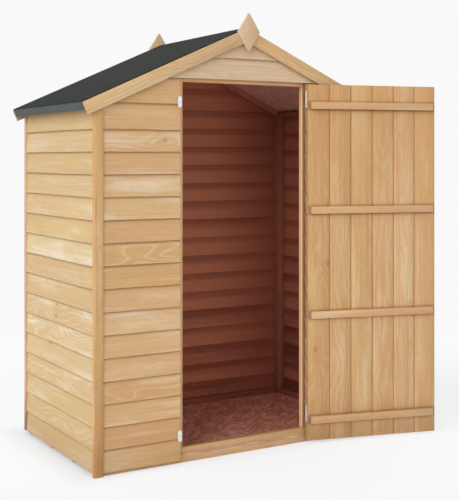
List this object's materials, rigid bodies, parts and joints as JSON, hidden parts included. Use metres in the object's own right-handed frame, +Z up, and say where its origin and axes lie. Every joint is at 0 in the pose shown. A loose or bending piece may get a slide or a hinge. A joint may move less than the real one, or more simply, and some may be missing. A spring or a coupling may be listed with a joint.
{
  "type": "wooden garden shed",
  "caption": "Small apex-roofed garden shed of lapped softwood boards with a felted roof, diamond finials and an outward-opening ledged door, hollow inside with a sheet floor.",
  "frame": {"origin": "on the ground, in the middle of the front floor bearer's underside, below the doorway", "axes": "+Z up, +X to the right along the front as seen from outside, +Y to the back, into the shed"},
  "size_m": [1.7559, 1.0674, 1.981],
  "materials": {
    "cladding_wood": "rough sawn, honey stain",
    "frame_wood": "sawn softwood",
    "trim_wood": "planed, honey stain",
    "door_wood": "sawn, honey stain",
    "strand_board": "strand board",
    "roof_felt": "mineral felt",
    "zinc": "zinc plated"
  },
  "bodies": {
    "shed": {"floor_bearers": "frame_wood", "left_wall_posts": "frame_wood", "left_wall_rails": "frame_wood", "right_wall_posts": "frame_wood", "right_wall_rails": "frame_wood", "back_wall_posts": "frame_wood", "back_wall_rail": "frame_wood", "back_gable_rail_left": "frame_wood", "back_gable_rail_right": "frame_wood", "front_corner_posts": "frame_wood", "door_posts": "frame_wood", "door_sill": "frame_wood", "door_header": "frame_wood", "front_gable_rail_left": "frame_wood", "front_gable_rail_right": "frame_wood", "eaves_batten_left": "frame_wood", "eaves_batten_right": "frame_wood", "floor_sheet": "strand_board", "roof_sheet_left": "strand_board", "roof_sheet_right": "strand_board", "left_cladding": "cladding_wood", "right_cladding": "cladding_wood", "back_cladding": "cladding_wood", "front_left_cladding": "cladding_wood", "front_right_cladding": "cladding_wood", "front_gable_cladding": "cladding_wood", "roof_felt_left": "roof_felt", "roof_felt_right": "roof_felt", "front_bargeboard_left": "trim_wood", "front_bargeboard_right": "trim_wood", "back_bargeboard_left": "trim_wood", "back_bargeboard_right": "trim_wood", "front_finial": "trim_wood", "back_finial": "trim_wood", "front_trim_left": "trim_wood", "front_trim_right": "trim_wood", "back_trim_left": "trim_wood", "back_trim_right": "trim_wood", "hinge_frame_leaves": "zinc", "button_screws": "zinc"},
    "door": {"door_boards": "door_wood", "door_ledges": "door_wood", "hinge_door_leaves": "zinc"},
    "upper_button": {"turn_button_upper": "zinc"},
    "lower_button": {"turn_button_lower": "zinc"}
  },
  "joints": [
    {"name": "door_swing", "type": "hinge", "parent": "shed", "child": "door", "pos_m": [0.329, -0.0402, 0], "axis": [0, 0, 1], "range_deg": [-165, 0]},
    {"name": "upper_button_turn", "type": "hinge", "parent": "shed", "child": "upper_button", "pos_m": [-0.34, -0.042, 1.572], "axis": [0, 1, 0], "range_deg": [-90, 90]},
    {"name": "lower_button_turn", "type": "hinge", "parent": "shed", "child": "lower_button", "pos_m": [-0.34, -0.042, 0.124], "axis": [0, 1, 0], "range_deg": [-90, 90]}
  ]
}
